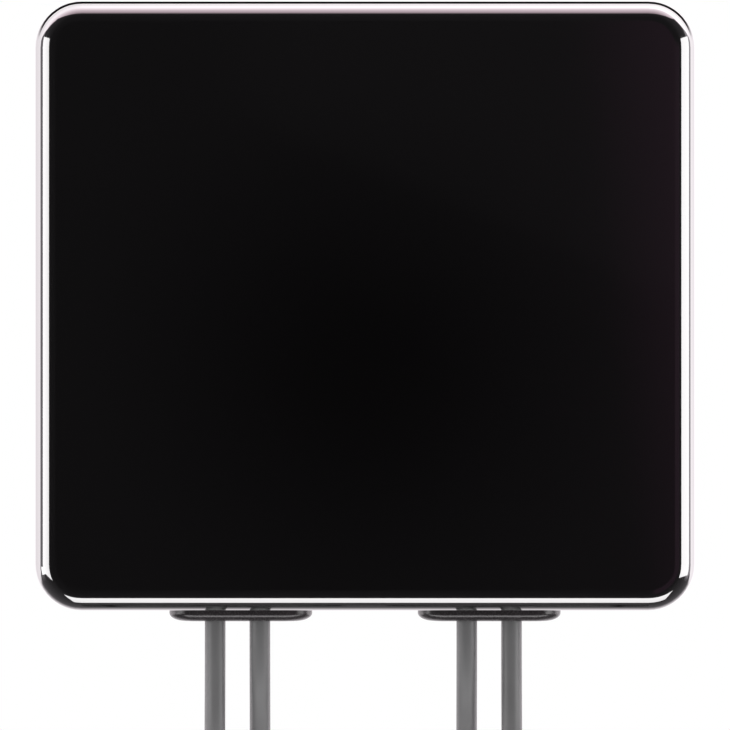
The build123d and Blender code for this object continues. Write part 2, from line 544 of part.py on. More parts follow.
# ---- Rubber glands, and the clamps that grip the leads above them ----
for side_name, pair_x in (("left", -PAIR_X), ("right", PAIR_X)):
    with BuildPart() as cable_gland:
        with BuildSketch(Plane.XY.offset(EXIT_Z)):
            with Locations((pair_x, -SEAM)):
                SlotOverall(GLAND_WIDTH, GLAND_DEPTH)
        extrude(amount=GLAND_DROP)
        fillet(cable_gland.edges().group_by(Axis.Z)[0], GLAND_EDGE_R)
        with BuildSketch(Plane.XY.offset(BOTTOM)):
            with Locations((pair_x, -SEAM)):
                SlotOverall(NECK_WIDTH, NECK_DEPTH)
        extrude(amount=SIDE_WALL)
        with BuildSketch(Plane.XY.offset(BOTTOM + SIDE_WALL)):
            with Locations((pair_x, -SEAM)):
                SlotOverall(LIP_WIDTH, LIP_DEPTH)
        extrude(amount=LIP_H)
        with BuildSketch(Plane.XY.offset(EXIT_Z)):
            with Locations(*[spot for spot in LEAD_SPOTS if abs(spot[0] - pair_x) < GLAND_WIDTH / 2]):
                Circle(CABLE_R)
        extrude(amount=GLAND_DROP + SIDE_WALL + LIP_H, mode=Mode.SUBTRACT)
    keep(cable_gland, f"cable_gland_{side_name}")

with BuildPart() as cable_clamps:
    with BuildSketch(at_depth(SEAM + CLAMP_GAP)):
        with Locations((-PAIR_X, CLAMP_Z), (PAIR_X, CLAMP_Z)):
            RectangleRounded(2 * CLAMP_HALF_WIDTH, CLAMP_H, CLAMP_CORNER_R)
        with Locations(*CLAMP_SCREW_SPOTS):
            Circle(SCREW_HOLE_R, mode=Mode.SUBTRACT)
    extrude(amount=CLAMP_T)
    with BuildSketch(Plane.XY.offset(CLAMP_Z - CLAMP_H / 2)):
        with Locations(*LEAD_SPOTS):
            Circle(CABLE_R)
    extrude(amount=CLAMP_H, mode=Mode.SUBTRACT)
keep(cable_clamps, "cable_clamps")

clamp_front = SEAM + CLAMP_GAP + CLAMP_T
screw_tip = SEAM - CLAMP_SCREW_REACH
with BuildPart() as clamp_screws:
    pin_row(CLAMP_SCREW_SPOTS, screw_tip, PILOT_SCREW_R, clamp_front - screw_tip)
    pin_row(CLAMP_SCREW_SPOTS, clamp_front, SCREW_HEAD_R, SCREW_HEAD_H)
    with BuildSketch(at_depth(clamp_front + SCREW_HEAD_H - DRIVE_DEPTH)):
        with Locations(*CLAMP_SCREW_SPOTS):
            RegularPolygon(DRIVE_R, 6)
    extrude(amount=DRIVE_DEPTH, mode=Mode.SUBTRACT)
keep(clamp_screws, "clamp_screws")

# ---- The four leads, numbered from the left: free stretch, coil and tail ----
for number, (side, is_outer) in enumerate(zip(LEAD_SIDE, LEAD_IS_OUTER), start=1):
    route = OUTER_ROUTE if is_outer else INNER_ROUTE
    tail = OUTER_TAIL if is_outer else INNER_TAIL
    coil_depth = FRONT_COIL_DEPTH if is_outer else REAR_COIL_DEPTH
    cable_tube(lead_route(route, side), f"lead_{number}")
    cable_tube(mirrored(tail, side), f"lead_end_{number}")
    with BuildPart() as lead_coil:
        with BuildSketch(at_depth(coil_depth - COIL_DEPTH / 2)):
            with Locations((side * COIL_X, COIL_Z)):
                Circle(COIL_OUTER_R)
                Circle(COIL_INNER_R, mode=Mode.SUBTRACT)
        extrude(amount=COIL_DEPTH)
        fillet(lead_coil.edges().filter_by(GeomType.CIRCLE), COIL_EDGE_R)
    keep(lead_coil, f"lead_coil_{number}")

# ---- Ties round each pair of coils ----
tie_low = REAR_COIL_DEPTH - COIL_DEPTH / 2 - TIE_GAP
tie_high = FRONT_COIL_DEPTH + COIL_DEPTH / 2 + TIE_GAP
tie_inner, tie_outer = COIL_INNER_R - TIE_INNER_GAP, COIL_OUTER_R + TIE_GAP
for side_name, side, angle in (("left", -1, 180 - TIE_ANGLE), ("right", 1, TIE_ANGLE)):
    ring_centre = Vector(side * COIL_X, -(tie_low + tie_high) / 2, COIL_Z)
    outwards = Vector(1, 0, 0).rotate(Axis.Y, -angle)
    middle = ring_centre + outwards * ((tie_inner + tie_outer) / 2)
    tie_plane = Plane(origin=middle, x_dir=outwards, z_dir=outwards.cross(Vector(0, 1, 0)))
    tie_opening = (tie_outer - tie_inner, tie_high - tie_low)
    with BuildPart() as coil_tie:
        with BuildSketch(tie_plane):
            RectangleRounded(tie_opening[0] + 2 * TIE_T, tie_opening[1] + 2 * TIE_T, TIE_CORNER_R + TIE_T)
            RectangleRounded(*tie_opening, TIE_CORNER_R, mode=Mode.SUBTRACT)
        extrude(amount=TIE_WIDTH / 2, both=True)
    keep(coil_tie, f"coil_tie_{side_name}")

# ---- Plugs on the ends of the leads, each with a free-turning coupling nut ----
PLUG_SPOTS = [
    (side * tail[-1][0], tail[-1][1])
    for side, tail in zip(LEAD_SIDE, (OUTER_TAIL, INNER_TAIL, INNER_TAIL, OUTER_TAIL))
]
PLUG_Z = OUTER_TAIL[-1][2]
for number, spot in enumerate(PLUG_SPOTS, start=1):
    with BuildPart() as plug_body:
        with Locations((*spot, PLUG_Z)):
            Cylinder(FLANGE_R, FLANGE_H, align=HANGING)
        with Locations((*spot, PLUG_Z - FLANGE_H)):
            Cylinder(PLUG_NECK_R, PLUG_NECK_H, align=HANGING)
        with Locations((*spot, PLUG_Z - FLANGE_H - PLUG_NECK_H)):
            Cylinder(COLLAR_R, COLLAR_H, align=HANGING)
        with Locations((*spot, PLUG_Z - FLANGE_H - PLUG_NECK_H - COLLAR_H)):
            Cylinder(TUBE_R, TUBE_H, align=HANGING)
        with Locations((*spot, PLUG_Z - INSULATOR_TOP)):
            Cylinder(INSULATOR_R, TUBE_END - INSULATOR_TOP, align=HANGING, mode=Mode.SUBTRACT)
    keep(plug_body, f"plug_body_{number}")

    with BuildPart() as coupling_nut:
        with BuildSketch(Plane.XY.offset(PLUG_Z - NUT_TOP - NUT_LENGTH)):
            with Locations(spot):
                RegularPolygon(NUT_FLATS / 2, 6, major_radius=False)
        extrude(amount=NUT_LENGTH)
        with BuildSketch(Plane.XY.offset(PLUG_Z - NUT_TOP - NUT_LENGTH)):
            with Locations(spot):
                Circle(NUT_CORNER_R)
        extrude(amount=NUT_LENGTH, mode=Mode.INTERSECT)
        with Locations((*spot, PLUG_Z - NUT_TOP)):
            Cylinder(NUT_LIP_R, NUT_LENGTH, align=HANGING, mode=Mode.SUBTRACT)
        with Locations((*spot, PLUG_Z - NUT_TOP - NUT_LIP_H)):
            Cylinder(NUT_BORE_R, NUT_LENGTH, align=HANGING, mode=Mode.SUBTRACT)
    keep(coupling_nut, f"coupling_nut_{number}")

with BuildPart() as plug_insulators:
    with BuildSketch(Plane.XY.offset(PLUG_Z - TUBE_END)):
        with Locations(*PLUG_SPOTS):
            Circle(INSULATOR_R)
            Circle(CONTACT_R, mode=Mode.SUBTRACT)
    extrude(amount=TUBE_END - INSULATOR_TOP)
keep(plug_insulators, "plug_insulators")

with BuildPart() as contact_pins:
    with Locations(*[(*spot, PLUG_Z - INSULATOR_TOP) for spot in PLUG_SPOTS]):
        Cylinder(CONTACT_R, CONTACT_LENGTH, align=HANGING)
    chamfer(contact_pins.edges().group_by(Axis.Z)[0], CONTACT_R - CONTACT_POINT_R)
keep(contact_pins, "contact_pins")

with BuildPart() as crimp_sleeves:
    with Locations(*[(*spot, PLUG_Z) for spot in PLUG_SPOTS]):
        Cylinder(SLEEVE_R, SLEEVE_LENGTH, align=STANDING)
        Cylinder(CABLE_R, SLEEVE_LENGTH, align=STANDING, mode=Mode.SUBTRACT)
keep(crimp_sleeves, "crimp_sleeves")

with BuildPart() as strain_boots:
    with Locations(*[(*spot, PLUG_Z + BOOT_START) for spot in PLUG_SPOTS]):
        Cone(BOOT_R, BOOT_END_R, BOOT_LENGTH, align=STANDING)
        Cylinder(SLEEVE_R, SLEEVE_LENGTH - BOOT_START, align=STANDING, mode=Mode.SUBTRACT)
        Cylinder(CABLE_R, BOOT_LENGTH, align=STANDING, mode=Mode.SUBTRACT)
keep(strain_boots, "strain_boots")
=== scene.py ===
import json
from math import ceil, cos, degrees, hypot, pi, radians, sin, tan

import bmesh
import bpy
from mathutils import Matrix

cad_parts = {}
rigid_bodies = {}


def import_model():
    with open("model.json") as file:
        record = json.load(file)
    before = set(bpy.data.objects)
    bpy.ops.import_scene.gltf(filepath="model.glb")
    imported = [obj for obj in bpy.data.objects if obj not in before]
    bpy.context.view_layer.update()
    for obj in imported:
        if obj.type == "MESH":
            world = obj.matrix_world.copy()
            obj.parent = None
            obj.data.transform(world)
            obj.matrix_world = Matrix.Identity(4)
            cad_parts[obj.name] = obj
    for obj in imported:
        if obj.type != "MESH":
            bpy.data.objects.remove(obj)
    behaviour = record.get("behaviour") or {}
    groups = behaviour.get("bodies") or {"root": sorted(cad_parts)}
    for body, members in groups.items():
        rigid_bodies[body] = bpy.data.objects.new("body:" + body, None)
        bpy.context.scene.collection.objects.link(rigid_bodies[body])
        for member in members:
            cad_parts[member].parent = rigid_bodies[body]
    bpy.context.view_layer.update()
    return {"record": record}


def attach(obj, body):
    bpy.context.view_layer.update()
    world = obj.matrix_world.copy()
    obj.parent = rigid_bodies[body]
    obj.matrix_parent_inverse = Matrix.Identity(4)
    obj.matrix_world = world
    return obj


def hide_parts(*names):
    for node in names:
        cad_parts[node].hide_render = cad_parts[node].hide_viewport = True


# A wall-hung signal booster panel, gloss black, with its four coaxial leads, in a white studio.
# Metres, in the frame of the CAD model: +X to the right from the front, +Y into the wall, +Z up.

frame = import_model()

MM = 0.001
SIDES = (("left", -1), ("right", 1))


# ---- Materials: patterns are laid out at real scale, on each piece's own coordinates ----


class Finish:
    """A procedural material, built up from patterns that have sizes and depths in metres."""

    def __init__(self, name, colour, roughness, **sockets):
        self.material = bpy.data.materials.new(name)
        self.material.use_nodes = True
        self.nodes = self.material.node_tree.nodes
        self.links = self.material.node_tree.links
        self.shader = self.nodes["Principled BSDF"]
        self.shader.inputs["Base Color"].default_value = (*colour, 1.0)
        self.shader.inputs["Roughness"].default_value = roughness
        for socket, value in sockets.items():
            self.shader.inputs[socket.replace("_", " ")].default_value = value
        self.place = self.nodes.new("ShaderNodeTexCoord").outputs["Object"]
        self.height = None

    def math(self, operation, first, second):
        node = self.nodes.new("ShaderNodeMath")
        node.operation = operation
        for socket, value in zip(node.inputs, (first, second)):
            if isinstance(value, (int, float)):
                socket.default_value = value
            else:
                self.links.new(value, socket)
        return node.outputs[0]

    def placed(self, size, stretch):
        """Coordinates in which one unit is the pattern's size, times its stretch along each axis."""
        mapping = self.nodes.new("ShaderNodeMapping")
        mapping.inputs["Scale"].default_value = [1 / (size * s) for s in stretch]
        self.links.new(self.place, mapping.inputs["Vector"])
        return mapping.outputs["Vector"]

    def noise(self, size, detail=3.0, stretch=(1, 1, 1)):
        """Cloudy noise from 0 to 1, with features of about this size."""
        texture = self.nodes.new("ShaderNodeTexNoise")
        texture.inputs["Scale"].default_value = 1.0
        texture.inputs["Detail"].default_value = detail
        self.links.new(self.placed(size, stretch), texture.inputs["Vector"])
        return texture.outputs["Fac"]

    def cells(self, size, stretch=(1, 1, 1)):
        """Rounded cells: 0 in the middle of a cell, and up to about 1 at its edge."""
        texture = self.nodes.new("ShaderNodeTexVoronoi")
        texture.inputs["Scale"].default_value = 1.0
        self.links.new(self.placed(size, stretch), texture.inputs["Vector"])
        return texture.outputs["Distance"]

    def waves(self, size, direction, twist=0.0):
        """Parallel ridges this far apart, across X, Y or Z."""
        texture = self.nodes.new("ShaderNodeTexWave")
        texture.bands_direction = direction
        texture.inputs["Scale"].default_value = pi / 10
        texture.inputs["Distortion"].default_value = twist
        self.links.new(self.placed(size, (1, 1, 1)), texture.inputs["Vector"])
        return texture.outputs["Fac"]

    def ranged(self, value, low, high, start=0.3, end=0.7):
        """The stretch of a pattern between start and end, made to run from low to high."""
        node = self.nodes.new("ShaderNodeMapRange")
        for socket, number in zip(("From Min", "From Max", "To Min", "To Max"), (start, end, low, high)):
            node.inputs[socket].default_value = number
        self.links.new(value, node.inputs["Value"])
        return node.outputs["Result"]

    def coloured(self, factor, first, second):
        """The base colour goes from first to second as the factor goes from 0 to 1."""
        mix = self.nodes.new("ShaderNodeMix")
        mix.data_type = "RGBA"
        self.links.new(factor, mix.inputs["Factor"])
        colours = [socket for socket in mix.inputs if socket.type == "RGBA"]
        colours[0].default_value = (*first, 1.0)
        colours[1].default_value = (*second, 1.0)
        result = [socket for socket in mix.outputs if socket.type == "RGBA"]
        self.links.new(result[0], self.shader.inputs["Base Color"])
        return self

    def roughened(self, factor):
        self.links.new(factor, self.shader.inputs["Roughness"])
        return self

    def raised(self, pattern, depth):
        """Adds a relief whose full height is this depth."""
        layer = self.math("MULTIPLY", pattern, depth)
        self.height = layer if self.height is None else self.math("ADD", self.height, layer)
        return self

    def done(self):
        if self.height is not None:
            bump = self.nodes.new("ShaderNodeBump")
            bump.inputs["Distance"].default_value = 1.0
            self.links.new(self.height, bump.inputs["Height"])
            self.links.new(bump.outputs["Normal"], self.shader.inputs["Normal"])
        return self.material


def shade(colour, factor):
    return tuple(channel * factor for channel in colour)


def gloss(name, colour, waviness):
    """Polished mould: a deep coat over the plastic, with the long faint waves of a moulded wall."""
    finish = Finish(name, colour, 0.07, IOR=2.0, Coat_Weight=1.0, Coat_Roughness=0.012, Coat_IOR=2.0)
    flow = finish.noise(14 * MM, 1.0)
    finish.coloured(finish.noise(40 * MM), shade(colour, 0.9), shade(colour, 1.15))
    finish.roughened(finish.ranged(finish.noise(3 * MM, 5.0), 0.05, 0.09))
    return finish.raised(flow, waviness).done()


def textured(name, colour, roughness, grain=0.35 * MM, depth=0.03 * MM, **sockets):
    """Spark-eroded mould: a fine even grain, a little shinier on its tops."""
    finish = Finish(name, colour, roughness, **sockets)
    grains = finish.noise(grain, 4.0)
    finish.coloured(finish.noise(25 * MM, 4.0), shade(colour, 0.85), shade(colour, 1.2))
    finish.roughened(finish.ranged(grains, roughness + 0.08, roughness - 0.06))
    return finish.raised(grains, depth).raised(finish.noise(6 * MM), depth).done()


def rubbery(name, colour, roughness, speck=0.5 * MM):
    """Moulded rubber: soft cloudy sheen and a little bloom."""
    finish = Finish(name, colour, roughness, Sheen_Weight=0.08, Sheen_Roughness=0.4)
    bloom = finish.ranged(finish.noise(5 * MM, 5.0), 0.0, 1.0)
    finish.coloured(bloom, shade(colour, 0.85), shade(colour, 1.35))
    finish.roughened(finish.ranged(finish.noise(speck, 3.0), roughness - 0.07, roughness + 0.1))
    return finish.raised(finish.noise(speck, 3.0), 0.012 * MM).done()


def metal(name, colour, roughness, stretch=(1, 1, 1), grain=0.15 * MM, depth=0.004 * MM):
    """Bare or plated metal: fine tool marks along its stretch, and faint stains."""
    finish = Finish(name, colour, roughness, Metallic=1.0)
    marks = finish.noise(grain, 4.0, stretch)
    finish.coloured(finish.noise(4 * MM, 5.0), shade(colour, 0.88), shade(colour, 1.06))
    finish.roughened(finish.ranged(marks, roughness - 0.05, roughness + 0.09))
    return finish.raised(marks, depth).done()


def powder_coated(name, colour):
    """Powder coat: the rounded bumps of orange peel under a satin skin."""
    finish = Finish(name, colour, 0.42, Coat_Weight=0.25, Coat_Roughness=0.3)
    peel = finish.cells(0.9 * MM)
    finish.coloured(finish.noise(9 * MM, 4.0), shade(colour, 0.8), shade(colour, 1.3))
    finish.roughened(finish.ranged(finish.noise(0.4 * MM), 0.36, 0.5))
    return finish.raised(peel, 0.03 * MM).done()


def woven(name, colour):
    """Hook-and-loop strap: short loops in fine rows."""
    finish = Finish(name, colour, 0.85, Sheen_Weight=0.35, Sheen_Roughness=0.5)
    rows = finish.math("MULTIPLY", finish.waves(0.8 * MM, "X", 1.5), finish.waves(0.8 * MM, "Z", 1.5))
    fuzz = finish.noise(0.25 * MM, 4.0)
    finish.coloured(fuzz, shade(colour, 0.6), shade(colour, 2.2))
    return finish.raised(rows, 0.1 * MM).raised(fuzz, 0.12 * MM).done()


def laminate(name, colour, copper):
    """Solder mask over copper: blocks of pour and gaps show through the lacquer."""
    finish = Finish(name, colour, 0.25, Coat_Weight=0.6, Coat_Roughness=0.12)
    pour = finish.ranged(finish.cells(3.2 * MM), 0.0, 1.0, 0.44, 0.48)
    finish.coloured(pour, copper, colour)
    finish.roughened(finish.ranged(finish.noise(0.3 * MM), 0.2, 0.34))
    return finish.raised(pour, -0.03 * MM).done()


FINISHES = {
    "gloss_cover": gloss("gloss_cover", (0.0016, 0.0014, 0.0015), 0.003 * MM),
    "rear_shell": textured("rear_shell", (0.011, 0.011, 0.012), 0.48),
    "seal_rubber": rubbery("seal_rubber", (0.03, 0.03, 0.032), 0.6),
    "screw_steel": metal("screw_steel", (0.40, 0.40, 0.42), 0.28),
    "insert_brass": metal("insert_brass", (0.72, 0.55, 0.28), 0.3),
    "pad_rubber": rubbery("pad_rubber", (0.022, 0.022, 0.023), 0.75),
    "plate_steel": powder_coated("plate_steel", (0.02, 0.02, 0.022)),
    "stud_steel": metal("stud_steel", (0.38, 0.38, 0.40), 0.3),
    "plane_aluminium": metal("plane_aluminium", (0.78, 0.79, 0.80), 0.3, (40, 1, 1)),
    "nylon": textured("nylon", (0.82, 0.81, 0.76), 0.4, Subsurface_Weight=0.1),
    "pin_gold": metal("pin_gold", (0.83, 0.62, 0.26), 0.18),
    "patch_metal": metal("patch_metal", (0.72, 0.44, 0.30), 0.28, (1, 1, 30)),
    "board_laminate": laminate("board_laminate", (0.02, 0.14, 0.06), (0.05, 0.21, 0.08)),
    "can_tin": metal("can_tin", (0.66, 0.66, 0.64), 0.3, (25, 1, 1)),
    "chip_black": textured("chip_black", (0.025, 0.025, 0.027), 0.55, 0.12 * MM, 0.01 * MM),
    "filter_ceramic": textured("filter_ceramic", (0.70, 0.69, 0.64), 0.35, 0.1 * MM, 0.01 * MM),
    "capacitor_tan": textured("capacitor_tan", (0.45, 0.33, 0.21), 0.4, 0.1 * MM, 0.01 * MM),
    "thermal_rubber": rubbery("thermal_rubber", (0.42, 0.47, 0.52), 0.7),
    "jack_gold": metal("jack_gold", (0.80, 0.60, 0.27), 0.22),
    "plug_nickel": metal("plug_nickel", (0.42, 0.41, 0.385), 0.24, (1, 1, 0.2)),
    "nut_nickel": metal("nut_nickel", (0.45, 0.44, 0.415), 0.26, (1, 1, 0.2)),
    "lead_jacket": textured("lead_jacket", (0.128, 0.128, 0.130), 0.44, 0.3 * MM, 0.01 * MM, IOR=1.6),
    "gland_rubber": rubbery("gland_rubber", (0.026, 0.022, 0.024), 0.24),
    "clamp_plastic": textured("clamp_plastic", (0.03, 0.03, 0.032), 0.5),
    "tie_fabric": woven("tie_fabric", (0.02, 0.02, 0.022)),
    "insulator_white": textured("insulator_white", (0.88, 0.88, 0.86), 0.35, 0.2 * MM, 0.005 * MM),
    "boot_rubber": rubbery("boot_rubber", (0.03, 0.03, 0.032), 0.5),
}
for subpart in frame["record"]["subparts"]:
    for material_slot in bpy.data.objects[subpart["node"]].material_slots:
        material_slot.material = FINISHES[subpart["material_slot"]]


# ---- Building pieces ----

SHARP_ANGLE = radians(38)


def add_piece(name, data, body, slot, *nodes):
    """A new object that rides on a body and stands for these CAD nodes."""
    piece = bpy.data.objects.new(name, data)
    bpy.context.scene.collection.objects.link(piece)
    data.materials.append(FINISHES[slot])
    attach(piece, body)
    if nodes:
        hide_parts(*nodes)
    return piece


def as_mesh(name, form):
    """Turns a bmesh into a smooth-shaded mesh with its hard edges kept sharp."""
    bmesh.ops.recalc_face_normals(form, faces=form.faces)
    mesh = bpy.data.meshes.new(name)
    form.to_mesh(mesh)
    form.free()
    mesh.shade_smooth()
    mesh.set_sharp_from_angle(angle=SHARP_ANGLE)
    return mesh


def joined(form, rings, around=True, capped=False):
    """Faces between rings of points, each with as many points; around closes the row of rings."""
    loops = [[form.verts.new(point) for point in ring] for ring in rings]
    pairs = list(zip(loops, loops[1:]))
    if around:
        pairs.append((loops[-1], loops[0]))
    for lower, upper in pairs:
        count = len(lower)
        for i in range(count):
            after = (i + 1) % count
            form.faces.new((lower[i], lower[after], upper[after], upper[i]))
    if capped:
        form.faces.new(reversed(loops[0]))
        form.faces.new(loops[-1])


def circles(profile, spot, sides):
    """Level circles about a vertical axis, one for each (radius, height) of a profile."""
    angles = [2 * pi * i / sides for i in range(sides)]
    return [
        [(spot[0] + radius * cos(a), spot[1] + radius * sin(a), height) for a in angles]
        for radius, height in profile
    ]


def minus(mesh, cutter):
    """The first mesh with the second one cut out of it."""
    pieces = [bpy.data.objects.new(part.name, part) for part in (mesh, cutter)]
    for piece in pieces:
        bpy.context.scene.collection.objects.link(piece)
    cut = pieces[0].modifiers.new("cut", "BOOLEAN")
    cut.operation = "DIFFERENCE"
    cut.solver = "EXACT"
    cut.object = pieces[1]
    evaluated = pieces[0].evaluated_get(bpy.context.evaluated_depsgraph_get())
    result = bpy.data.meshes.new_from_object(evaluated)
    for piece in pieces:
        bpy.data.objects.remove(piece)
    result.shade_smooth()
    result.set_sharp_from_angle(angle=SHARP_ANGLE)
    return result


# ---- The four leads ----
# Each is one spline: its route down from the gland, a coil of two layers, and its tail to the plug.

CABLE_R = 2.5 * MM
# Each lead's number, its side of the panel, and whether it's the outer one of its pair.
LEADS = [(1, -1, True), (2, -1, False), (3, 1, False), (4, 1, True)]
# The left-hand leads sit a little off the middle of their gland, and take that up on their way down.
LEFT_PAIR_SHIFT = -0.8 * MM
SHIFT_SHARES = [1.0, 1.0, 1.0, 1.0, 0.8, 0.7, 0.0]
OUTER_ROUTE = [
    (0.0354, -0.0120, -0.0755),
    (0.0354, -0.0120, -0.0880),
    (0.0354, -0.0147, -0.1015),
    (0.0354, -0.0150, -0.1142),
    (0.0396, -0.0150, -0.1245),
    (0.0473, -0.0150, -0.1325),
    (0.0574, -0.0150, -0.1369),
]
INNER_ROUTE = [
    (0.0246, -0.0120, -0.0755),
    (0.0246, -0.0120, -0.0870),
    (0.0246, -0.0097, -0.0984),
    (0.0246, -0.0094, -0.1114),
    (0.0302, -0.0094, -0.1231),
    (0.0402, -0.0094, -0.1312),
    (0.0527, -0.0094, -0.1341),
]
OUTER_TAIL = [
    (0.0729, -0.0201, -0.1630),
    (0.0734, -0.0194, -0.1860),
    (0.0734, -0.0194, -0.2090),
]
INNER_TAIL = [
    (0.0729, -0.0044, -0.1630),
    (0.0734, -0.0062, -0.1860),
    (0.0734, -0.0062, -0.2090),
]
COIL_X, COIL_Z = 0.0387, -0.1660
COIL_WIDE_R, COIL_TIGHT_R = 34.2 * MM, 20.5 * MM
COIL_TURNS, TURN_POINTS = 5, 24
LAYER_CHANGE = 0.5  # how many turns the cable takes to climb from one layer to the other
# Where each coil starts and ends, in degrees, and the depths of its two layers.
OUTER_COIL = (57.3, 5.0, -15.05 * MM, -20.15 * MM)
INNER_COIL = (66.0, 5.0, -9.45 * MM, -4.35 * MM)


def coil_points(start_angle, end_angle, first_y, second_y):
    """Control points of a coil wound inwards in one layer, then back outwards in the other."""
    total = start_angle - end_angle + 360 * COIL_TURNS
    count = ceil(total / 360 * TURN_POINTS)
    half_step = radians(total / count / 2)
    climb = LAYER_CHANGE * 360 / total
    points = []
    for i in range(1, count):
        share = i / count
        angle = radians(start_angle - total * share)
        inwards = 1 - abs(2 * share - 1)
        radius = (COIL_WIDE_R - (COIL_WIDE_R - COIL_TIGHT_R) * inwards) / cos(half_step)
        climbed = min(max((share - 0.5) / climb + 0.5, 0.0), 1.0)
        y = first_y + (second_y - first_y) * climbed
        points.append((COIL_X + radius * cos(angle), y, COIL_Z + radius * sin(angle)))
    return points


def lead_points(is_outer, side):
    """A lead's control points from its gland to its plug, on the left (-1) or on the right (1)."""
    if is_outer:
        points = OUTER_ROUTE + coil_points(*OUTER_COIL) + OUTER_TAIL
    else:
        points = INNER_ROUTE + coil_points(*INNER_COIL) + INNER_TAIL
    points = [(side * x, y, z) for x, y, z in points]
    if side < 0:
        for i, share in enumerate(SHIFT_SHARES):
            x, y, z = points[i]
            points[i] = (x + LEFT_PAIR_SHIFT * share, y, z)
    return points


def lead_curve(name, points):
    """A round cable along a smooth curve that the points guide."""
    curve = bpy.data.curves.new(name, "CURVE")
    curve.dimensions = "3D"
    spline = curve.splines.new("NURBS")
    spline.points.add(len(points) - 1)
    for control, point in zip(spline.points, points):
        control.co = (*point, 1.0)
    spline.order_u = 3
    spline.use_endpoint_u = True
    spline.resolution_u = 6
    curve.bevel_depth = CABLE_R
    curve.bevel_resolution = 8
    curve.use_fill_caps = True
    return curve


for number, side, is_outer in LEADS:
    curve = lead_curve("lead", lead_points(is_outer, side))
    solids = (f"lead_{number}", f"lead_coil_{number}", f"lead_end_{number}")
    add_piece(f"coaxial_lead_{number}", curve, "panel", "lead_jacket", *solids)


# ---- Glands: a boat-shaped flange under the box, a neck through its wall, and a lip inside ----

UNDERSIDE, SIDE_WALL = -73.0 * MM, 3.0 * MM
GLAND_X, GLAND_Y = 30.0 * MM, -12.0 * MM
GLAND_HALF_WIDTH, GLAND_HALF_DEPTH, GLAND_DROP = 17.25 * MM, 6.0 * MM, 2.95 * MM
BOAT_LENGTH, BOAT_DEPTH, BOAT_H = 3.6 * MM, 2.6 * MM, 1.9 * MM  # the rounding of its lower edge
NECK_HALF_WIDTH, NECK_HALF_DEPTH = 14.5 * MM, 3.7 * MM
LIP_HALF_WIDTH, LIP_HALF_DEPTH, LIP_H, LIP_EDGE = 16.5 * MM, 5.5 * MM, 2.0 * MM, 0.5 * MM
HOLE_R, MOUTH_R, MOUTH_H = 2.52 * MM, 3.0 * MM, 0.35 * MM
SLOT_END_STEPS, BOAT_STEPS, HOLE_SIDES = 24, 12, 48


def slot_ring(middle_x, half_width, half_depth, height):
    """A flat ring shaped like a slot, with round ends."""
    straight = half_width - half_depth
    ring = []
    for end, start_angle in ((1, -90), (-1, 90)):
        end_x = middle_x + end * straight
        for i in range(SLOT_END_STEPS + 1):
            angle = radians(start_angle + 180 * i / SLOT_END_STEPS)
            ring.append((end_x + half_depth * cos(angle), GLAND_Y + half_depth * sin(angle), height))
    return ring


def gland(side, lead_spots):
    """One gland, from its lower face up, with a hole for each lead that flares at the mouth."""
    middle_x = side * GLAND_X
    foot = UNDERSIDE - GLAND_DROP
    rings = []
    for i in range(BOAT_STEPS + 1):
        angle = radians(90 * (1 - i / BOAT_STEPS))
        rings.append(
            slot_ring(
                middle_x,
                GLAND_HALF_WIDTH - BOAT_LENGTH * (1 - cos(angle)),
                GLAND_HALF_DEPTH - BOAT_DEPTH * (1 - cos(angle)),
                foot + BOAT_H * (1 - sin(angle)),
            )
        )
    top = UNDERSIDE + SIDE_WALL
    rings += [
        slot_ring(middle_x, GLAND_HALF_WIDTH, GLAND_HALF_DEPTH, UNDERSIDE),
        slot_ring(middle_x, NECK_HALF_WIDTH, NECK_HALF_DEPTH, UNDERSIDE),
        slot_ring(middle_x, NECK_HALF_WIDTH, NECK_HALF_DEPTH, top),
        slot_ring(middle_x, LIP_HALF_WIDTH, LIP_HALF_DEPTH, top),
        slot_ring(middle_x, LIP_HALF_WIDTH, LIP_HALF_DEPTH, top + LIP_H - LIP_EDGE),
        slot_ring(middle_x, LIP_HALF_WIDTH - LIP_EDGE, LIP_HALF_DEPTH - LIP_EDGE, top + LIP_H),
    ]
    form = bmesh.new()
    joined(form, rings, around=False, capped=True)
    holes = bmesh.new()
    hole_profile = [
        (MOUTH_R, foot - MM),
        (MOUTH_R, foot),
        (HOLE_R, foot + MOUTH_H),
        (HOLE_R, top + LIP_H + MM),
    ]
    for lead_x in lead_spots:
        joined(holes, circles(hole_profile, (lead_x, GLAND_Y), HOLE_SIDES), around=False, capped=True)
    return minus(as_mesh("gland", form), as_mesh("holes", holes))


for side_name, side in SIDES:
    spots = [lead_points(is_outer, side)[0][0] for is_outer in (True, False)]
    mesh = gland(side, spots)
    add_piece(f"gland_{side_name}", mesh, "panel", "gland_rubber", f"cable_gland_{side_name}")


# ---- Plugs: strain relief boots with grip rings, and coupling nuts with chamfers and a thread ----

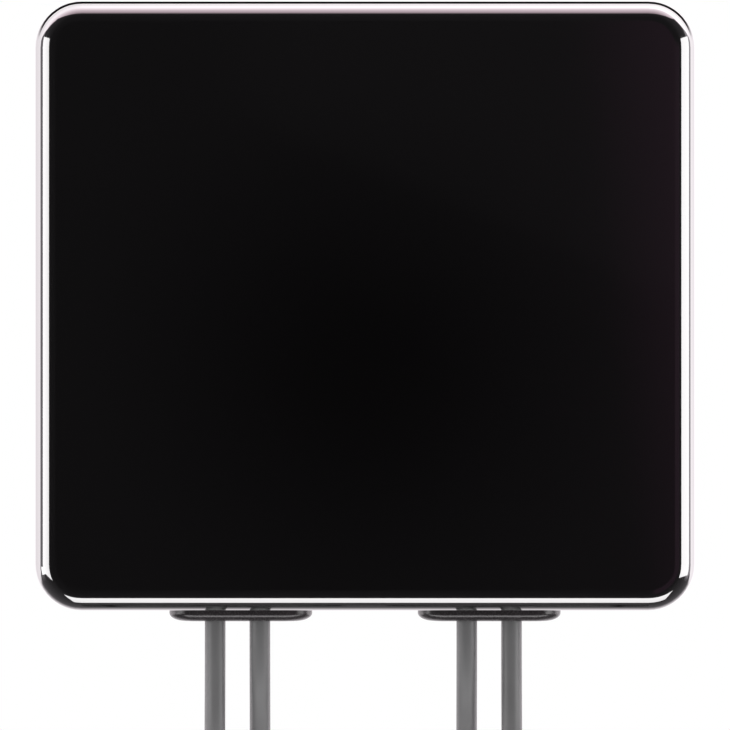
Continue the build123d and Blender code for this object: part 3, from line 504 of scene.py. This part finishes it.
PLUG_TOP = -209.0 * MM
BOOT_START, BOOT_LENGTH, BOOT_R, BOOT_END_R = 1.5 * MM, 14.0 * MM, 4.0 * MM, 3.4 * MM
BOOT_BORE_R, SLEEVE_R, SLEEVE_LENGTH = 2.5 * MM, 3.05 * MM, 11.0 * MM
BOOT_RINGS, GROOVE_DEPTH, BOOT_EDGE, BOOT_PLAIN = 6, 0.45 * MM, 0.4 * MM, 2.0 * MM
BOOT_SIDES, STEPS_PER_RING = 64, 8
NUT_TOP, NUT_LENGTH, NUT_FLAT_R, NUT_CORNER_R = 2.8 * MM, 9.2 * MM, 4.0 * MM, 4.4 * MM
NUT_LIP_R, NUT_LIP_H, NUT_BORE_R, NUT_CHAMFER = 2.58 * MM, 2.0 * MM, 3.18 * MM, 0.5 * MM
NUT_FACE_INSET, CORNER_CHAMFER_H, CHAMFER_STEPS, NUT_SIDES = 0.1 * MM, 0.3 * MM, 4, 96
THREAD_PITCH, THREAD_DEPTH, THREAD_TURNS = 0.7 * MM, 0.2 * MM, 7


def boot_profile():
    """Up the outside, over its grip rings, and down the bore, which widens for the crimp sleeve."""
    base = PLUG_TOP + BOOT_START
    top = base + BOOT_LENGTH
    profile = [(BOOT_R - BOOT_EDGE, base), (BOOT_R, base + BOOT_EDGE)]
    steps = BOOT_RINGS * STEPS_PER_RING
    for i in range(steps + 1):
        share = i / steps
        height = base + BOOT_PLAIN + share * (BOOT_LENGTH - 2 * BOOT_PLAIN)
        wave = max(0.0, sin(2 * pi * BOOT_RINGS * share)) ** 0.5
        radius = BOOT_R + (BOOT_END_R - BOOT_R) * (height - base) / BOOT_LENGTH
        profile.append((radius - GROOVE_DEPTH * wave, height))
    profile += [
        (BOOT_END_R, top - BOOT_EDGE),
        (BOOT_END_R - BOOT_EDGE, top),
        (BOOT_BORE_R, top),
        (BOOT_BORE_R, PLUG_TOP + SLEEVE_LENGTH),
        (SLEEVE_R, PLUG_TOP + SLEEVE_LENGTH),
        (SLEEVE_R, base),
    ]
    return profile


def nut_ring(spot, share, height):
    """A hexagon with its corners turned down: most at share 0, the nut's face, and least at share 1."""
    face_r = NUT_FLAT_R - NUT_FACE_INSET
    limit = face_r + share * (NUT_CORNER_R - face_r)
    ring = []
    for i in range(NUT_SIDES):
        degrees_round = 360 * i / NUT_SIDES
        from_flat = radians((degrees_round + 30) % 60 - 30)
        radius = min(NUT_FLAT_R / cos(from_flat), limit)
        angle = radians(degrees_round)
        ring.append((spot[0] + radius * cos(angle), spot[1] + radius * sin(angle), height))
    return ring


def coupling_nut(spot):
    """Up the outside of a free-turning nut, then down its bore over the thread."""
    top = PLUG_TOP - NUT_TOP
    bottom = top - NUT_LENGTH
    shares = [i / CHAMFER_STEPS for i in range(CHAMFER_STEPS + 1)]
    rings = [nut_ring(spot, share, bottom + share * CORNER_CHAMFER_H) for share in shares]
    rings += [nut_ring(spot, share, top - share * CORNER_CHAMFER_H) for share in reversed(shares)]
    bore = [(NUT_LIP_R, top), (NUT_LIP_R, top - NUT_LIP_H), (NUT_BORE_R, top - NUT_LIP_H)]
    thread_top = bottom + NUT_CHAMFER + THREAD_TURNS * THREAD_PITCH
    for i in range(THREAD_TURNS):
        height = thread_top - i * THREAD_PITCH
        bore += [(NUT_BORE_R, height), (NUT_BORE_R - THREAD_DEPTH, height - THREAD_PITCH / 2)]
    bore += [(NUT_BORE_R, bottom + NUT_CHAMFER), (NUT_BORE_R + NUT_CHAMFER / 2, bottom)]
    form = bmesh.new()
    joined(form, rings + circles(bore, spot, NUT_SIDES))
    return as_mesh("coupling_nut", form)


boots = bmesh.new()
for number, side, is_outer in LEADS:
    end = lead_points(is_outer, side)[-1]
    joined(boots, circles(boot_profile(), end, BOOT_SIDES))
    nut = coupling_nut(end)
    add_piece(f"hex_nut_{number}", nut, f"nut_{number}", "nut_nickel", f"coupling_nut_{number}")
add_piece("relief_boots", as_mesh("boots", boots), "panel", "boot_rubber", "strain_boots")

for number, side, is_outer in LEADS:
    lead_points(is_outer, side)[0]


# ---- Ties: a hook-and-loop strap once round each pair of coils, its end pressed down on itself ----

TIE_ANGLE, TIE_HALF_WIDTH, TIE_T, TIE_CORNER_R = 40.0, 4.5 * MM, 1.15 * MM, 2.0 * MM
TIE_INNER, TIE_OUTER = 17.1 * MM, 37.0 * MM  # from the middle of the coils
TIE_BACK_Y, TIE_FRONT_Y = -1.5 * MM, -23.0 * MM
TIE_OVERLAP, TIE_RISE, TIE_STEP = 13.0 * MM, 4.0 * MM, 0.5 * MM
TIE_LAP_LIFT = 1.04 * TIE_T  # the lapped end lies just clear of the strap below it
TIE_CORNER_STEPS = 8
TIE_EDGE = 0.3 * MM
# The strap's section, as (across, up) from the middle of its inner face.
TIE_SECTION = [
    (TIE_HALF_WIDTH - TIE_EDGE, 0.0),
    (TIE_HALF_WIDTH, TIE_EDGE),
    (TIE_HALF_WIDTH, TIE_T - TIE_EDGE),
    (TIE_HALF_WIDTH - TIE_EDGE, TIE_T),
]
TIE_SECTION += [(-across, up) for across, up in reversed(TIE_SECTION)]


def tie_path():
    """Points (out, depth, normal out, normal depth) along the strap's inner face."""
    half_out, half_depth = (TIE_OUTER - TIE_INNER) / 2, (TIE_BACK_Y - TIE_FRONT_Y) / 2
    middle_out, middle_depth = (TIE_OUTER + TIE_INNER) / 2, (TIE_BACK_Y + TIE_FRONT_Y) / 2
    path = []
    corners = [(1, -1, -90), (1, 1, 0), (-1, 1, 90), (-1, -1, 180)]
    for out_sign, depth_sign, start_angle in corners:
        out = middle_out + out_sign * (half_out - TIE_CORNER_R)
        depth = middle_depth + depth_sign * (half_depth - TIE_CORNER_R)
        for i in range(TIE_CORNER_STEPS + 1):
            angle = radians(start_angle + 90 * i / TIE_CORNER_STEPS)
            normal = (cos(angle), sin(angle))
            path.append((out + TIE_CORNER_R * normal[0], depth + TIE_CORNER_R * normal[1], *normal))
    return path


def walked(path, length):
    """The path's place and normal after this distance, going round again if need be."""
    looped = path + path
    for here, there in zip(looped, looped[1:]):
        step = hypot(there[0] - here[0], there[1] - here[1])
        if length <= step:
            share = length / step
            return [a + (b - a) * share for a, b in zip(here, there)]
        length -= step
    return looped[-1]


def tie(side):
    """The strap round one side's coils, from its buried end round to its lapped end."""
    path = tie_path()
    start = (TIE_OUTER - TIE_INNER) / 4
    lengths = [hypot(b[0] - a[0], b[1] - a[1]) for a, b in zip(path, path[1:] + path[:1])]
    once_round = sum(lengths)
    total = once_round + TIE_OVERLAP
    angle = radians(180 - TIE_ANGLE if side < 0 else TIE_ANGLE)
    outwards = (cos(angle), sin(angle))
    across = (-outwards[1], outwards[0])
    steps = round(total / TIE_STEP)
    rings = []
    for i in range(steps + 1):
        distance = total * i / steps
        out, depth, normal_out, normal_depth = walked(path, (distance + once_round - start) % once_round)
        risen = min(max((distance - once_round + TIE_RISE) / TIE_RISE, 0.0), 1.0)
        lift = TIE_LAP_LIFT * risen * risen * (3 - 2 * risen)
        ring = []
        for sideways, up in TIE_SECTION:
            reached = out + normal_out * (up + lift)
            y = depth + normal_depth * (up + lift)
            x = side * COIL_X + outwards[0] * reached + across[0] * sideways
            z = COIL_Z + outwards[1] * reached + across[1] * sideways
            ring.append((x, y, z))
        rings.append(ring)
    form = bmesh.new()
    joined(form, rings, around=False, capped=True)
    return as_mesh("tie", form)


for side_name, side in SIDES:
    add_piece(f"strap_{side_name}", tie(side), "panel", "tie_fabric", f"coil_tie_{side_name}")


# ---- Camera: straight on, and far enough away that the box's sides hardly show ----

CAMERA_FROM_FRONT = 1.3
PICTURE_WIDTH = 174.9 * MM  # at the depth of the box's widest outline
OUTLINE_Y, CAMERA_Z = -23 * MM, -14.2 * MM
camera_data = bpy.data.cameras.new("camera")
camera_data.sensor_width = 36.0
camera_data.lens = camera_data.sensor_width * CAMERA_FROM_FRONT / PICTURE_WIDTH
camera = bpy.data.objects.new("camera", camera_data)
camera.location = (0.0, OUTLINE_Y - CAMERA_FROM_FRONT, CAMERA_Z)
camera.rotation_euler = (radians(90), 0.0, 0.0)
bpy.context.scene.collection.objects.link(camera)
bpy.context.scene.camera = camera
bpy.context.scene.view_settings.view_transform = "Standard"


# ---- Studio: a white tent, dark towards the camera ----
# The camera sees plain white behind the object, matt surfaces are lit evenly, and only gloss
# mirrors the tent's pattern. It is laid out by direction: x to the right, z up, and phi, the angle
# in degrees between a direction and the way from the object to the camera.


class Tent:
    """Strings together the nodes of the world's shader. Levels are amounts of light, where 1 is white."""

    def __init__(self):
        self.world = bpy.data.worlds.new("studio")
        self.world.use_nodes = True
        self.world.cycles.sampling_method = "NONE"
        self.nodes = self.world.node_tree.nodes
        self.links = self.world.node_tree.links
        direction = self.nodes.new("ShaderNodeSeparateXYZ")
        coordinates = self.nodes.new("ShaderNodeTexCoord")
        self.links.new(coordinates.outputs["Generated"], direction.inputs[0])
        self.x, self.y, self.z = direction.outputs
        turned_away = self.math("ARCCOSINE", self.math("MULTIPLY", self.y, -1.0))
        self.phi = self.math("MULTIPLY", turned_away, degrees(1))

    def math(self, operation, *values):
        node = self.nodes.new("ShaderNodeMath")
        node.operation = operation
        for socket, value in zip(node.inputs, values):
            if isinstance(value, (int, float)):
                socket.default_value = value
            else:
                self.links.new(value, socket)
        return node.outputs[0]

    def ramp(self, value, start, end, low=0.0, high=1.0, smooth=True):
        """From low at start to high at end, and level beyond them."""
        node = self.nodes.new("ShaderNodeMapRange")
        node.interpolation_type = "SMOOTHSTEP" if smooth else "LINEAR"
        for socket, number in zip(("From Min", "From Max", "To Min", "To Max"), (start, end, low, high)):
            node.inputs[socket].default_value = number
        self.links.new(value, node.inputs["Value"])
        return node.outputs["Result"]

    def profile(self, value, stops):
        """A curve through stops of (value, level), straight between them and level beyond them."""
        curve = stops[0][1]
        for (low, before), (high, after) in zip(stops, stops[1:]):
            curve = self.math("ADD", curve, self.ramp(value, low, high, 0.0, after - before, False))
        return curve

    def within(self, value, low, high, edge):
        """1 between low and high, and 0 outside them, with edges this wide."""
        rise = self.ramp(value, low - edge / 2, low + edge / 2)
        fall = self.ramp(value, high - edge / 2, high + edge / 2, 1.0, 0.0)
        return self.math("MULTIPLY", rise, fall)

    def all_of(self, *masks):
        product = masks[0]
        for mask in masks[1:]:
            product = self.math("MULTIPLY", product, mask)
        return product

    def sum_of(self, *values):
        total = values[0]
        for value in values[1:]:
            total = self.math("ADD", total, value)
        return total

    def scaled(self, colour, strength):
        """A colour, plain or already made of nodes, times a strength."""
        node = self.nodes.new("ShaderNodeVectorMath")
        node.operation = "SCALE"
        if isinstance(colour, tuple):
            node.inputs[0].default_value = colour
        else:
            self.links.new(colour, node.inputs[0])
        self.links.new(strength, node.inputs["Scale"])
        return node.outputs[0]

    def added(self, first, second):
        node = self.nodes.new("ShaderNodeVectorMath")
        self.links.new(first, node.inputs[0])
        self.links.new(second, node.inputs[1])
        return node.outputs[0]

    def light(self, colour):
        node = self.nodes.new("ShaderNodeBackground")
        if isinstance(colour, tuple):
            node.inputs["Color"].default_value = (*colour, 1.0)
        else:
            self.links.new(colour, node.inputs["Color"])
        return node.outputs[0]

    def chosen(self, factor, no, yes):
        """One light where the factor is 0, and the other where it is 1."""
        node = self.nodes.new("ShaderNodeMixShader")
        self.links.new(factor, node.inputs["Fac"])
        self.links.new(no, node.inputs[1])
        self.links.new(yes, node.inputs[2])
        return node.outputs[0]


tent = Tent()
phi, x, z = tent.phi, tent.x, tent.z

# Each curve is a row of (phi, level), but the wall's, which gives by height z the phi it starts at.
WHITE_LEVELS = [
    (44, 1.8),
    (51, 3.4),
    (57, 4.6),
    (70, 6.9),
    (80, 7.9),
    (92, 6.8),
    (111, 4.7),
    (136, 1.95),
    (157, 1.1),
    (175, 0.45),
]
GLOOM_LEVELS = [(0.5, 0.012), (3, 0.04), (10, 0.06), (30, 0.07), (80, 0.3), (110, 0.45)]
MIRROR_LEVELS = [(60, 0.44), (100, 0.50), (120, 0.60), (140, 0.75), (170, 0.98)]
WALL_STARTS = [(-0.35, 108), (-0.2, 97), (0.0, 94), (0.2, 93), (0.31, 88), (0.48, 75), (0.65, 65)]
RIGHT_WALL_SHIFT = 7.0
WHITE, PINK, ROSE, GREY_LILAC = (1.0, 0.94, 0.97), (1.02, 0.80, 0.89), (1.0, 0.4, 0.78), (1.0, 0.94, 1.0)

# The white ceiling, and the white wall behind, with a dark gap before it on the sides.
white_levels = tent.profile(phi, WHITE_LEVELS)
ceiling = tent.ramp(z, 0.69, 0.715)
right_side = tent.ramp(x, -0.02, 0.02)
wall_start = tent.profile(z, WALL_STARTS)
wall_start = tent.sum_of(wall_start, tent.math("MULTIPLY", right_side, RIGHT_WALL_SHIFT))
behind = tent.ramp(tent.math("SUBTRACT", phi, wall_start), -2, 3)
behind = tent.all_of(behind, tent.ramp(x, -0.3, 0.3, 1.0, 1.15))
whites = tent.all_of(tent.math("MAXIMUM", ceiling, behind), white_levels)

# Below the object the wall gives way to a softer floor, and high up behind it has a dark band.
below = tent.ramp(z, -0.45, -0.25, 1.0, 0.0)
not_below = tent.ramp(below, 0.0, 1.0, 1.0, 0.0)
floor_share = tent.ramp(phi, 112, 150, 0.0, 0.75)
floor_glow = tent.all_of(below, floor_share, white_levels)
band = tent.all_of(tent.within(phi, 117, 150, 3), tent.ramp(z, 0.15, 0.45))
outside_band = tent.math("SUBTRACT", 1.0, band)
whites = tent.all_of(whites, not_below, outside_band)

# What is left is dim: a little lighter above a slanting line, and pink towards the right.
gap_height, gap_level = tent.ramp(z, -0.45, -0.25), tent.ramp(x, -0.3, 0.3, 0.8, 1.8)
side_gap = tent.all_of(tent.within(phi, 77, 100, 4), gap_height, gap_level)
gloom = tent.all_of(tent.sum_of(tent.profile(phi, GLOOM_LEVELS), side_gap), outside_band)
slant = tent.math("ADD", z, tent.math("MULTIPLY", x, 0.42))
face_arc = tent.all_of(tent.ramp(slant, 0.034, 0.039, 0.0, 0.010), tent.ramp(x, -0.035, -0.01))
lean = tent.math("ADD", x, tent.math("MULTIPLY", z, 0.12))
face_glow = tent.all_of(
    tent.ramp(lean, 0.046, 0.066, 0.0, 0.09, False),
    tent.ramp(phi, 24, 32, 1.0, 0.0),
    tent.ramp(z, 0.06, 0.12, 1.0, 0.0),
)

# Towards the camera the whites turn pink.
pale = tent.all_of(whites, tent.ramp(phi, 50, 95))
blush = tent.all_of(whites, tent.ramp(phi, 50, 95, 1.0, 0.0))
reflected = tent.scaled(GREY_LILAC, tent.sum_of(gloom, face_arc))
reflected = tent.added(reflected, tent.scaled(WHITE, tent.sum_of(pale, floor_glow)))
reflected = tent.added(reflected, tent.scaled(PINK, blush))
reflected = tent.added(reflected, tent.scaled(ROSE, face_glow))
# The cover's lacquer mirrors more than a fifth of what is straight before it, and all at a glance.
reflected = tent.scaled(reflected, tent.profile(phi, MIRROR_LEVELS))

rays = tent.nodes.new("ShaderNodeLightPath")
for_matt, for_camera = tent.light((0.9, 0.9, 0.9)), tent.light((1.0, 1.0, 1.0))
lighting = tent.chosen(rays.outputs["Is Diffuse Ray"], tent.light(reflected), for_matt)
lighting = tent.chosen(rays.outputs["Is Camera Ray"], lighting, for_camera)
tent.links.new(lighting, tent.nodes["World Output"].inputs["Surface"])
bpy.context.scene.world = tent.world


# ---- Softboxes: one close by each side of the box, and one below its front edge ----
# Only gloss mirrors them. Their edges are at angles phi, as seen from the box's rounded front edge.

EDGE_X, EDGE_Y, EDGE_Z = 77 * MM, -26.5 * MM, -71 * MM
SIDE_BOX_GAP, LOW_BOX_GAP = 43 * MM, 49 * MM
SIDE_BOX_TOP = 78 * MM
SOFTBOX_COLOUR = (1.0, 0.98, 0.99)
LOW_BOX_ANGLES, LOW_BOX_LEVELS = (45.8, 75.8), (4.6, 3.8)
LOW_BOX_FRONT_X, LOW_BOX_BACK_X = (-104 * MM, 122 * MM), (-80 * MM, 97 * MM)
# Two more stand further out and lower, for the leads alone.
LEAD_BOX_X, LEAD_BOX_BOTTOM, LEAD_BOX_TOP, LEAD_BOX_LEVEL = 300 * MM, -130 * MM, -90 * MM, 5.0


def reach(gap, phi_angle, start_y=EDGE_Y):
    """The y at which a ray from the edge, phi degrees from straight ahead, has crossed the gap."""
    return start_y - gap / tan(radians(phi_angle))


def softbox(name, corners, first_level, last_level):
    """A lit panel whose light changes evenly from its first corner's depth to the second's."""
    mesh = bpy.data.meshes.new(name)
    mesh.from_pydata(corners, [], [(0, 1, 2, 3)])
    material = bpy.data.materials.new(name)
    material.use_nodes = True
    nodes, links = material.node_tree.nodes, material.node_tree.links
    nodes.remove(nodes["Principled BSDF"])
    depth = nodes.new("ShaderNodeSeparateXYZ")
    links.new(nodes.new("ShaderNodeTexCoord").outputs["Object"], depth.inputs[0])
    level = nodes.new("ShaderNodeMapRange")
    numbers = (corners[0][1], corners[1][1], first_level, last_level)
    for socket, number in zip(("From Min", "From Max", "To Min", "To Max"), numbers):
        level.inputs[socket].default_value = number
    links.new(depth.outputs["Y"], level.inputs["Value"])
    emission = nodes.new("ShaderNodeEmission")
    emission.inputs["Color"].default_value = (*SOFTBOX_COLOUR, 1.0)
    links.new(level.outputs["Result"], emission.inputs["Strength"])
    links.new(emission.outputs[0], nodes["Material Output"].inputs["Surface"])
    mesh.materials.append(material)
    panel = bpy.data.objects.new(name, mesh)
    panel.visible_camera = False
    panel.visible_diffuse = False
    panel.visible_shadow = False
    panel.visible_transmission = False
    bpy.context.scene.collection.objects.link(panel)


def side_softbox(name, side, angles, bottoms, levels):
    """Beside the box. Angles, bottom heights and levels are those of its front and back ends."""
    box_x = side * (EDGE_X + SIDE_BOX_GAP)
    front, back = [reach(SIDE_BOX_GAP, angle) for angle in angles]
    corners = [(box_x, front, bottoms[0]), (box_x, back, bottoms[1])]
    corners += [(box_x, back, SIDE_BOX_TOP), (box_x, front, SIDE_BOX_TOP)]
    softbox(name, corners, *levels)


def lead_softbox(name, side, angles):
    """Beside the leads. Its angles are those of its front and back ends, as seen from the leads."""
    front, back = [reach(LEAD_BOX_X - GLAND_X, angle, GLAND_Y) for angle in angles]
    ends = [(side * LEAD_BOX_X, front), (side * LEAD_BOX_X, back)]
    corners = [(*end, LEAD_BOX_BOTTOM) for end in ends]
    corners += [(*end, LEAD_BOX_TOP) for end in reversed(ends)]
    softbox(name, corners, LEAD_BOX_LEVEL, LEAD_BOX_LEVEL)


def low_softbox(name):
    """Below the box's front edge, wider in front than at the back."""
    front, back = [reach(LOW_BOX_GAP, angle) for angle in LOW_BOX_ANGLES]
    height = EDGE_Z - LOW_BOX_GAP
    corners = [(LOW_BOX_FRONT_X[0], front, height), (LOW_BOX_BACK_X[0], back, height)]
    corners += [(LOW_BOX_BACK_X[1], back, height), (LOW_BOX_FRONT_X[1], front, height)]
    softbox(name, corners, *LOW_BOX_LEVELS)


side_softbox("left_softbox", -1, (35.7, 75.5), (-93 * MM, -73 * MM), (3.9, 4.8))
side_softbox("right_softbox", 1, (37.8, 89), (-86 * MM, -78 * MM), (4.5, 4.6))
lead_softbox("left_lead_softbox", -1, (62, 86))
lead_softbox("right_lead_softbox", 1, (45, 75))
low_softbox("low_softbox")


# ---- Floor: pale paper, below the hanging leads, out of the camera's view ----

FLOOR_Z, FLOOR_R, FLOOR_SIDES = -0.30, 2.4, 96
FLOOR_COLOUR, FLOOR_LIGHT_COLOUR, FLOOR_CLOUD = (0.93, 0.93, 0.93), (0.95, 0.95, 0.95), 0.2
floor_mesh = bpy.data.meshes.new("floor")
floor_form = bmesh.new()
bmesh.ops.create_circle(floor_form, cap_ends=True, segments=FLOOR_SIDES, radius=FLOOR_R)
floor_form.to_mesh(floor_mesh)
floor_form.free()
floor = bpy.data.objects.new("floor", floor_mesh)
floor.location.z = FLOOR_Z
floor.visible_glossy = False
bpy.context.scene.collection.objects.link(floor)
floor_finish = Finish("floor_paper", FLOOR_COLOUR, 0.9)
floor_finish.coloured(floor_finish.noise(FLOOR_CLOUD), FLOOR_COLOUR, FLOOR_LIGHT_COLOUR)
floor_mesh.materials.append(floor_finish.done())
